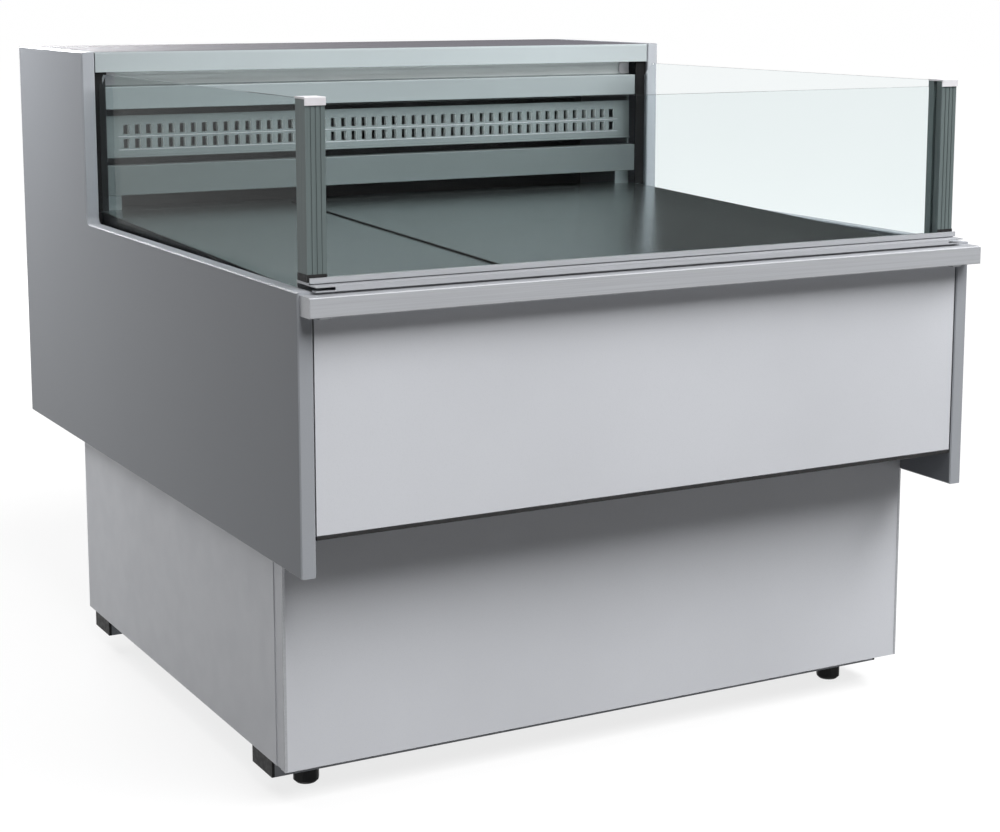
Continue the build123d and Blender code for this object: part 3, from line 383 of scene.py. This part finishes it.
def lamp_lens():
    """Milky grey-green diffuser, faintly prismatic along its length."""
    milk = srgb(212, 218, 218)
    finish = Finish("Milky diffuser")
    finish.colour(finish.mottle(milk, 0.05, depth=0.015))
    finish.roughness(0.02, low=0.30, high=0.38)
    finish.bump(finish.bands(PRISM_PITCH, "Z"), depth=0.0002, strength=0.3)
    return finish.material


def duct_sheen(finish):
    """Satin gloss that the coated sheets of the air duct share."""
    finish.roughness(0.06, low=0.36, high=0.42)
    finish.bump(finish.noise(0.12), depth=0.0002, strength=0.2)


def duct_finish(name, pearl):
    """Satin metallic coating of the air duct."""
    finish = Finish(name, metallic=DUCT_METAL, specular_ior_level=0.3)
    finish.colour(finish.mottle(pearl, CLOUD, depth=0.02))
    duct_sheen(finish)
    return finish.material


def slotted_finish():
    """Satin metallic sheet in a darker copy of the duct coating, painted shade, whose cut tabs, turned
    aside, are painted pale and matt: painted light falling into the slots.
    """
    pearl = srgb(112, 120, 121)
    tab_painted_light = srgb(232, 238, 238)
    finish = Finish("Slotted panel coating", specular_ior_level=0.3)
    # Faces square to X, the tabs, get a pale colour that is painted light; the rest of the sheet is darker,
    # painted shade
    aside = finish.square_to("X")
    finish.colour(finish.blend(aside, finish.mottle(pearl, CLOUD, depth=0.02), tab_painted_light))
    metal = finish.spread(aside, DUCT_METAL, 0.0, start=0.0, end=1.0)
    finish.join(metal, finish.shader.inputs["Metallic"])
    duct_sheen(finish)
    return finish.material


finishes = {
    "panel_paint": powder_coat("Light grey powder coat", srgb(196, 198, 203)),
    "end_panel_finish": end_panel_finish(),
    "worktop_finish": worktop_finish(),
    "bumper_aluminium": drawn_aluminium("Bumper aluminium", srgb(162, 164, 168), 0.3, 0.38, X),
    "post_aluminium": drawn_aluminium("Post aluminium", srgb(97, 107, 107), 0.1, 0.42, Z, shine=0.1),
    "cap_plastic": moulded_plastic("Cap plastic", srgb(208, 206, 210), gloss=0.5),
    "tinted_glass": tinted_glass(),
    "deck_steel": deck_steel(),
    "duct_paint": duct_finish("Duct coating", srgb(132, 140, 142)),
    "lamp_lens": lamp_lens(),
    # The tub liner is painted dark: painted shade for the unlit inside of the tub
    "tub_liner": powder_coat("Tub liner with painted shade", srgb(58, 57, 59), gloss=0.45),
    "frame_steel": powder_coat("Dark coated steel", srgb(74, 75, 79), gloss=0.5),
    "zinc_sheet": zinc_sheet(),
    "coil_aluminium": coil_aluminium(),
    "copper": copper_tube(),
    "compressor_black": powder_coat("Compressor enamel", srgb(28, 28, 30), gloss=0.3),
    "black_rubber": black_rubber(),
    "black_plastic": moulded_plastic("Black plastic", srgb(13, 13, 14), gloss=0.5, shine=0.15),
    "fan_plastic": moulded_plastic("Fan plastic", srgb(42, 43, 46), gloss=0.4),
    "control_plastic": moulded_plastic("Control plastic", srgb(48, 49, 52), gloss=0.4),
    "button_plastic": moulded_plastic("Button plastic", srgb(150, 153, 158)),
    "rocker_plastic": moulded_plastic("Rocker plastic", srgb(30, 30, 32), gloss=0.35),
}

# Nodes with a finish of their own. The lower air box and the slotted panel take darker copies of the duct
# coating, painted shade for the lower part of the duct getting less light
own_finishes = {
    "base_beams": beam_steel(),
    "lower_air_box": duct_finish("Lower box coating with painted shade", srgb(92, 99, 100)),
    "slotted_air_panel": slotted_finish(),
}

for name, node in nodes.items():
    for holder in node.material_slots:
        holder.material = own_finishes.get(name, finishes[holder.material.name])


# Detail pieces

EDGE_SEGMENTS = 2
FINE_EDGE = 0.0002
SHADE_STRIP_EDGE = 0.0003
ANGLE_EDGE = 0.0004
SOFT_EDGE = 0.0006
# Size of the black strip under the front panel, which stands in for the shade under its fold
SHADE_STRIP_DEPTH = 0.0095
SHADE_STRIP_HEIGHT = 0.0055
SHADE_STRIP_LIP_HEIGHT = 0.75 * SHADE_STRIP_HEIGHT
SHADE_STRIP_LIP_DEPTH = 0.3 * SHADE_STRIP_DEPTH
BEAD_WIDTH = 0.0030
BEAD_SHEET = 0.0006
POST_SHADE_STRIP_PROUD = 0.0007
POST_SHADE_STRIP_HEIGHT = 0.0095
PANEL_SHEET = 0.0015
RIB_HEIGHT = 0.0014
RIB_PROUD = 0.0006
RIB_PITCH = 0.0205
RIB_END = 0.024
END_ANGLE_FRONT = 0.0017
END_ANGLE_SHEET = 0.0027
END_ANGLE_RETURN = 0.015
END_ANGLE_GAP = 0.0005
SEAM_DEPTH = 0.0120
SEAM_GAP = 0.0003
SEAM_PROUD = 0.0020
SEAM_OVERLAP = 0.0030
SEAM_END = 0.0010
SIDE_SHADE_STRIP_SHEET = 0.0016
SIDE_SHADE_STRIP_SINK = 0.0004
SIDE_SHADE_STRIP_HEIGHT = 0.0180
LAMP_CAP_LENGTH = 0.020
LAMP_CAP_DEPTH = 0.0022
LAMP_CAP_CORNER = 0.004
DISPLAY_OFFSET = -0.017
DISPLAY_RECESS = 0.0008
DIGITS = "40"
DIGIT_WIDTH = 0.0058
DIGIT_HEIGHT = 0.0116
DIGIT_STROKE = 0.0014
DIGIT_PITCH = 0.0105
MARK_PROUD = 0.00025
MARK_EDGE = 0.00004
ROCKER_MARK = 0.0052
ROCKER_STROKE = 0.0010
ROCKER_FACE_SHARE = 0.9
BUTTON_MARK = 0.0036
RING_SIDES = 24

# Outline of the sign on each button, in halves of its size
BUTTON_SIGNS = {
    "set_button": [(-1, -0.5), (-0.5, -1), (0.5, -1), (1, -0.5), (1, 0.5), (0.5, 1), (-0.5, 1), (-1, 0.5)],
    "up_button": [(-1, -0.8), (1, -0.8), (0, 1)],
    "down_button": [(-1, 0.8), (1, 0.8), (0, -1)],
}


def add_bar(form, outline, axis, start, end):
    """Adds a bar along an axis. Its outline is pairs of the two other coordinates, in their order."""
    rings = []
    for along in (start, end):
        ring = []
        for pair in outline:
            corner = list(pair)
            corner.insert(axis, along)
            ring.append(form.verts.new(corner))
        rings.append(ring)
        form.faces.new(ring)
    for index, corner in enumerate(rings[0]):
        after = (index + 1) % len(outline)
        form.faces.new((corner, rings[0][after], rings[1][after], rings[1][index]))


def add_ring(form, outer, inner, start, end):
    """Adds a flat ring round the third axis, from start to end along it."""
    rings = []
    for radius, along in ((outer, start), (outer, end), (inner, end), (inner, start)):
        ring = []
        for side in range(RING_SIDES):
            turn = 2 * math.pi * side / RING_SIDES
            ring.append(form.verts.new((radius * math.cos(turn), radius * math.sin(turn), along)))
        rings.append(ring)
    for index, ring in enumerate(rings):
        following = rings[(index + 1) % len(rings)]
        for side in range(RING_SIDES):
            after = (side + 1) % RING_SIDES
            form.faces.new((ring[side], ring[after], following[after], following[side]))


def make_piece(name, form, body, slot, edge):
    """Turns a form into a piece with softened edges that rides on a body."""
    bmesh.ops.recalc_face_normals(form, faces=form.faces)
    mesh = bpy.data.meshes.new(name)
    form.to_mesh(mesh)
    form.free()
    mesh.materials.append(finishes[slot])
    piece = bpy.data.objects.new(name, mesh)
    bpy.context.scene.collection.objects.link(piece)
    soften = piece.modifiers.new("soft_edges", "BEVEL")
    soften.width = edge
    soften.segments = EDGE_SEGMENTS
    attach(piece, body)


def half_box(node, side):
    """Lowest and highest corner of what a CAD node has on one side of the middle plane."""
    corners = [vertex.co for vertex in nodes[node].data.vertices if vertex.co.x * side > 0]
    low = Vector([min(corner[axis] for corner in corners) for axis in range(3)])
    high = Vector([max(corner[axis] for corner in corners) for axis in range(3)])
    return low, high


def front_panel_shade_strip():
    """Black strip under the lower fold of the front panel, thicker towards the back: a dark strip put where
    the shade under the fold falls.
    """
    low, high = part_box("front_panel")
    y, z = low.y, low.z
    outline = [(y, z), (y, z - SHADE_STRIP_LIP_HEIGHT), (y + SHADE_STRIP_LIP_DEPTH, z - SHADE_STRIP_HEIGHT),
               (y + SHADE_STRIP_DEPTH, z - SHADE_STRIP_HEIGHT), (y + SHADE_STRIP_DEPTH, z)]
    form = bmesh.new()
    add_bar(form, outline, X, low.x, high.x)
    make_piece("front_panel_shade_strip", form, "case", "black_rubber", SOFT_EDGE)


def plinth_corner_highlight_beads():
    """Thin bright angle over each front corner of the plinth: a painted highlight for the light caught by
    the fold.
    """
    low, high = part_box("plinth_front_panel")
    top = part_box("left_end_panel")[0].z
    form = bmesh.new()
    for x, inward in ((low.x, 1), (high.x, -1)):
        outer = x - inward * BEAD_SHEET
        inner = x + inward * BEAD_WIDTH
        outline = [(outer, low.y - BEAD_SHEET), (inner, low.y - BEAD_SHEET), (inner, low.y), (x, low.y),
                   (x, low.y + BEAD_WIDTH), (outer, low.y + BEAD_WIDTH)]
        add_bar(form, outline, Z, low.z, top)
    make_piece("plinth_corner_highlight_beads", form, "case", "bumper_aluminium", FINE_EDGE)


def post_shade_strips():
    """Black angle round the foot of each corner post, in front and outside, put where the shade between
    post and channel falls.
    """
    form = bmesh.new()
    for side in (-1, 1):
        low, high = half_box("corner_posts", side)
        inner, outer = sorted((low.x, high.x), key=abs)
        proud = outer + side * POST_SHADE_STRIP_PROUD
        front = low.y - POST_SHADE_STRIP_PROUD
        outline = [(inner, front), (proud, front), (proud, high.y), (outer, high.y), (outer, low.y),
                   (inner, low.y)]
        add_bar(form, outline, Z, low.z, low.z + POST_SHADE_STRIP_HEIGHT)
    make_piece("post_shade_strips", form, "case", "black_rubber", FINE_EDGE)


def air_panel_highlight_ribs():
    """Thin raised lines between and below the two rows of slots, in a lighter metal than the panel: a
    painted highlight along them.
    """
    box_low, box_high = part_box("lower_air_box")
    face = box_high.y - PANEL_SHEET
    middle = (box_high.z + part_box("air_canopy")[0].z) / 2
    form = bmesh.new()
    for row in (-1, 0):
        z = middle + row * RIB_PITCH
        outline = [(face + RIB_PROUD / 2, z - RIB_HEIGHT / 2), (face - RIB_PROUD, z - RIB_HEIGHT / 4),
                   (face - RIB_PROUD, z + RIB_HEIGHT / 4), (face + RIB_PROUD / 2, z + RIB_HEIGHT / 2)]
        add_bar(form, outline, X, box_low.x + RIB_END, box_high.x - RIB_END)
    make_piece("air_panel_highlight_ribs", form, "case", "bumper_aluminium", FINE_EDGE)


def duct_end_angles():
    """Black angle that closes the gap between each end of the air duct and the end panel."""
    box_low, box_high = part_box("lower_air_box")
    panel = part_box("right_end_panel")[0].x
    front = box_low.y - END_ANGLE_FRONT
    back = front + END_ANGLE_SHEET
    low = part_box("rear_deck_strip")[1].z + END_ANGLE_GAP
    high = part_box("worktop")[0].z - END_ANGLE_GAP
    form = bmesh.new()
    for side in (-1, 1):
        inner = side * (box_high.x + END_ANGLE_GAP)
        outer = side * panel
        leaf = outer - side * END_ANGLE_SHEET
        outline = [(inner, front), (outer, front), (outer, front + END_ANGLE_RETURN),
                   (leaf, front + END_ANGLE_RETURN), (leaf, back), (inner, back)]
        add_bar(form, outline, Z, low, high)
    make_piece("duct_end_angles", form, "case", "black_plastic", ANGLE_EDGE)


def follow_deck(form):
    """Lets a form that is level with the back of the deck fall with it towards the front."""
    low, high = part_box("deck_right")
    front_top = max(v.co.z for v in nodes["deck_right"].data.vertices if v.co.y < low.y + SEAM_END)
    slope = (high.z - front_top) / (high.y - low.y)
    for corner in form.verts:
        corner.co.z += (corner.co.y - high.y) * slope


def deck_seam_shade_strip():
    """Black strip in the seam between the two deck pieces, hooked over the edge of the right one: a dark
    strip that stands in for the shade in the seam.
    """
    low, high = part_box("deck_right")
    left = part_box("deck_left")[1].x + SEAM_GAP
    right = low.x + SEAM_OVERLAP
    outline = [(left, high.z - SEAM_DEPTH), (left, high.z + SEAM_PROUD), (low.x, high.z + SEAM_PROUD),
               (right, high.z), (low.x, high.z), (low.x, high.z - SEAM_DEPTH)]
    form = bmesh.new()
    add_bar(form, outline, Y, low.y + SEAM_END, high.y - SEAM_END)
    follow_deck(form)
    make_piece("deck_seam_shade_strip", form, "deck_right", "black_plastic", SHADE_STRIP_EDGE)


def deck_side_shade_strips():
    """Black strip on the outer flank of each deck piece, above the end panel, standing in for the shade on
    the flank.
    """
    for node, side in (("deck_left", -1), ("deck_right", 1)):
        low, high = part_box(node)
        flank = high.x if side > 0 else low.x
        top = high.z - SIDE_SHADE_STRIP_SINK
        foot = high.z - SIDE_SHADE_STRIP_HEIGHT
        outer = flank + side * SIDE_SHADE_STRIP_SHEET
        outline = [(flank, top), (outer, top), (outer, foot), (flank, foot)]
        form = bmesh.new()
        add_bar(form, outline, Y, low.y + SEAM_END, high.y - SEAM_END)
        follow_deck(form)
        make_piece(node + "_side_shade_strip", form, node, "black_plastic", SHADE_STRIP_EDGE)


def lamp_end_caps():
    """Pale holder over each end of the lamp's diffuser."""
    low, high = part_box("lamp_diffuser")
    form = bmesh.new()
    for x, inward in ((low.x, 1), (high.x, -1)):
        end = x + inward * LAMP_CAP_LENGTH
        cut = end - inward * LAMP_CAP_CORNER
        outline = [(x, low.z), (cut, low.z), (end, low.z + LAMP_CAP_CORNER),
                   (end, high.z - LAMP_CAP_CORNER), (cut, high.z), (x, high.z)]
        add_bar(form, outline, Y, low.y - LAMP_CAP_DEPTH, low.y)
    make_piece("lamp_end_caps", form, "case", "cap_plastic", SOFT_EDGE)


def stroke(first, second, width):
    """Outline of a straight stroke with pointed ends."""
    start, end = Vector(first), Vector(second)
    along = (end - start).normalized() * width / 2
    aside = Vector((-along.y, along.x))
    upper = [start + along + aside, end - along + aside]
    lower = [end - along - aside, start + along - aside]
    return [start, *upper, end, *lower]


def display_digits():
    """Two seven-stroke digits with a point between them, on the floor of the controller's display."""
    half, tall = DIGIT_WIDTH / 2, DIGIT_HEIGHT / 2
    strokes = {
        "a": ((-half, tall), (half, tall)),
        "b": ((half, tall), (half, 0)),
        "c": ((half, 0), (half, -tall)),
        "d": ((-half, -tall), (half, -tall)),
        "e": ((-half, 0), (-half, -tall)),
        "f": ((-half, tall), (-half, 0)),
        "g": ((-half, 0), (half, 0)),
    }
    shapes = {"0": "abcdef", "4": "bcfg"}
    low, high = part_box("temperature_controller")
    floor = high.y - DISPLAY_RECESS
    x_middle = (low.x + high.x) / 2 + DISPLAY_OFFSET
    z_middle = (low.z + high.z) / 2
    form = bmesh.new()
    for place, digit in enumerate(DIGITS):
        left = (place - (len(DIGITS) - 1) / 2) * DIGIT_PITCH
        for letter in shapes[digit]:
            line = stroke(*strokes[letter], DIGIT_STROKE)
            outline = [(x_middle - left - u, z_middle + v) for u, v in line]
            add_bar(form, outline, Y, floor, floor + MARK_PROUD)
    dot = DIGIT_STROKE / 2
    outline = [(x_middle + u, z_middle - tall + v) for u, v in ((dot, 0), (0, dot), (-dot, 0), (0, -dot))]
    add_bar(form, outline, Y, floor, floor + MARK_PROUD)
    make_piece("display_digits", form, "case", "lamp_lens", MARK_EDGE)


def rocker_face(node, upper):
    """Middle and outward direction of the upper or lower half of a rocker's dished face."""
    low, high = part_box(node)
    middle = (low + high) / 2
    centre, outward, area = Vector(), Vector(), 0.0
    for face in nodes[node].data.polygons:
        outside = face.normal.y > ROCKER_FACE_SHARE and face.center.y > middle.y
        if outside and (face.center.z > middle.z) == upper:
            centre += face.center * face.area
            outward += face.normal * face.area
            area += face.area
    return centre / area, outward.normalized()


def rocker_marks(node):
    """A bar on the upper half of a rocker and a ring on the lower, raised a little."""
    across = Vector((-1.0, 0.0, 0.0))
    whole = bmesh.new()
    for upper in (True, False):
        form = bmesh.new()
        if upper:
            half, tall = ROCKER_STROKE / 2, ROCKER_MARK / 2
            bar = [(-half, -tall), (half, -tall), (half, tall), (-half, tall)]
            add_bar(form, bar, Z, -MARK_PROUD, MARK_PROUD)
        else:
            add_ring(form, ROCKER_MARK / 2, ROCKER_MARK / 2 - ROCKER_STROKE, -MARK_PROUD, MARK_PROUD)
        centre, outward = rocker_face(node, upper)
        turn = Matrix((across, outward.cross(across), outward)).transposed().to_4x4()
        bmesh.ops.transform(form, matrix=Matrix.Translation(centre) @ turn, verts=form.verts)
        mesh = bpy.data.meshes.new("mark")
        form.to_mesh(mesh)
        form.free()
        whole.from_mesh(mesh)
        bpy.data.meshes.remove(mesh)
    make_piece(node + "_marks", whole, node, "cap_plastic", MARK_EDGE)


def button_mark(node, corners):
    """A raised sign on the face of a controller button."""
    low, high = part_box(node)
    x, z = (low.x + high.x) / 2, (low.z + high.z) / 2
    form = bmesh.new()
    outline = [(x + u * BUTTON_MARK / 2, z + v * BUTTON_MARK / 2) for u, v in corners]
    add_bar(form, outline, Y, high.y - MARK_PROUD, high.y + MARK_PROUD)
    make_piece(node + "_mark", form, node, "rocker_plastic", MARK_EDGE)


front_panel_shade_strip()
plinth_corner_highlight_beads()
post_shade_strips()
air_panel_highlight_ribs()
duct_end_angles()
deck_seam_shade_strip()
deck_side_shade_strips()
lamp_end_caps()
display_digits()
for rocker in ("power_rocker", "light_rocker"):
    rocker_marks(rocker)
for button, sign in BUTTON_SIGNS.items():
    button_mark(button, sign)


# Studio: floor, room light, lamps and camera

def seen_directly(tree):
    """1 for rays that show the background: camera, mirror and glass rays."""
    path = tree.nodes.new("ShaderNodeLightPath")
    seen = path.outputs["Is Camera Ray"]
    for kind in ("Is Glossy Ray", "Is Transmission Ray"):
        seen = math_node(tree, "MAXIMUM", seen, path.outputs[kind])
    return seen


def floor_material():
    """A pale floor that glows to white away from the object and keeps its shadow."""
    finish = Finish("Pale floor", specular_ior_level=0.0, roughness=1.0)
    tone = (FLOOR_TONE, FLOOR_TONE, FLOOR_TONE, 1.0)
    finish.colour(finish.mottle(tone, 0.8, depth=0.004))
    distance = finish.add("ShaderNodeVectorMath")
    distance.operation = "LENGTH"
    finish.join(finish.space.outputs["Object"], distance.inputs[0])
    glow = finish.spread(
        distance.outputs["Value"], FLOOR_GLOW_NEAR, FLOOR_GLOW_FAR, FLOOR_GLOW_START, FLOOR_GLOW_END
    )
    strength = math_node(finish.tree, "MULTIPLY", glow, seen_directly(finish.tree))
    finish.shader.inputs["Emission Color"].default_value = WHITE
    finish.join(strength, finish.shader.inputs["Emission Strength"])
    return finish.material


def make_floor():
    """A wide floor just below the feet."""
    mesh = bpy.data.meshes.new("floor")
    corners = [(x, y, 0.0) for x, y in ((-1, -1), (1, -1), (1, 1), (-1, 1))]
    mesh.from_pydata([Vector(corner) * FLOOR_HALF for corner in corners], [], [(0, 1, 2, 3)])
    mesh.materials.append(floor_material())
    floor = bpy.data.objects.new("floor", mesh)
    floor.location.z = cad_box[0].z - FLOOR_GAP
    bpy.context.scene.collection.objects.link(floor)


def ramp(tree, value, start, end, low, high):
    """Maps start to end onto low to high, softly."""
    ranger = map_range(tree, value, start, end, low, high)
    ranger.interpolation_type = "SMOOTHSTEP"
    return ranger.outputs["Result"]


def dark_corner(tree):
    """1 in the white room, falling to a dark tone in one low part of it."""
    direction = tree.nodes.new("ShaderNodeSeparateXYZ")
    tree.links.new(tree.nodes.new("ShaderNodeTexCoord").outputs["Generated"], direction.inputs["Vector"])
    bearing = math_node(tree, "ARCTAN2", direction.outputs["X"], direction.outputs["Y"])
    aside = math_node(tree, "ABSOLUTE", math_node(tree, "SUBTRACT", bearing, CORNER_DIRECTION))
    inside = ramp(tree, aside, CORNER_CORE, CORNER_EDGE, 1.0, 0.0)
    low = ramp(tree, direction.outputs["Z"], CORNER_TOP_START, CORNER_TOP_END, 1.0, 0.0)
    return ramp(tree, math_node(tree, "MULTIPLY", inside, low), 0.0, 1.0, 1.0, CORNER_TONE)


def make_room():
    """A white room with one dark corner at the rear right, which the steel deck mirrors."""
    world = bpy.data.worlds.new("Studio")
    bpy.context.scene.world = world
    world.use_nodes = True
    tree = world.node_tree
    background = tree.nodes["Background"]
    background.inputs["Color"].default_value = WHITE
    light = ramp(tree, seen_directly(tree), 0.0, 1.0, ROOM_FILL, 1.0)
    brightness = math_node(tree, "MULTIPLY", light, dark_corner(tree))
    tree.links.new(brightness, background.inputs["Strength"])


def make_lamp(name, bearing, height, distance, size, power):
    """A soft box that points at the middle of the case. Bearing 0 is behind it and 90 to its right.

    Steel and glass don't show a near lamp, which would leave a bright patch in them.
    """
    light = bpy.data.lights.new(name, "AREA")
    light.shape = "RECTANGLE"
    light.size, light.size_y = size
    light.energy = power
    turn = math.radians(bearing)
    rise = math.radians(height)
    aim = Vector((math.sin(turn) * math.cos(rise), math.cos(turn) * math.cos(rise), math.sin(rise)))
    lamp = bpy.data.objects.new(name, light)
    lamp.location = LAMP_TARGET + aim * distance
    lamp.rotation_euler = (-aim).to_track_quat("-Z", "Y").to_euler()
    lamp.visible_camera = False
    lamp.visible_glossy = distance > NEAR_LAMP
    lamp.visible_transmission = distance > NEAR_LAMP
    bpy.context.scene.collection.objects.link(lamp)


def make_camera():
    """The camera, turned to the right and pitched down."""
    camera = bpy.data.cameras.new("camera")
    camera.sensor_width = CAMERA_SENSOR
    camera.lens = CAMERA_LENS
    camera.shift_y = CAMERA_SHIFT
    level = Matrix.Rotation(-CAMERA_YAW, 4, "Z")
    tilt = Matrix.Rotation(math.pi / 2 - CAMERA_PITCH, 4, "X")
    holder = bpy.data.objects.new("camera", camera)
    holder.matrix_world = Matrix.Translation(CAMERA_PLACE) @ level @ tilt
    bpy.context.scene.collection.objects.link(holder)
    bpy.context.scene.camera = holder


make_floor()
make_room()
make_lamp("key_softbox", bearing=165, height=51, distance=9.0, size=(8.0, 5.2), power=1240.0)
make_lamp("left_fill", bearing=262, height=8, distance=5.0, size=(2.0, 2.0), power=32.0)
make_lamp("left_softbox", bearing=309, height=31, distance=1.5, size=(0.6, 0.6), power=9.0)
make_lamp("right_softbox", bearing=114, height=37.5, distance=1.72, size=(0.7, 0.7), power=20.0)
make_lamp("rear_softbox", bearing=0, height=20, distance=5.0, size=(2.0, 1.6), power=180.0)
make_camera()
bpy.context.scene.view_settings.view_transform = "Standard"
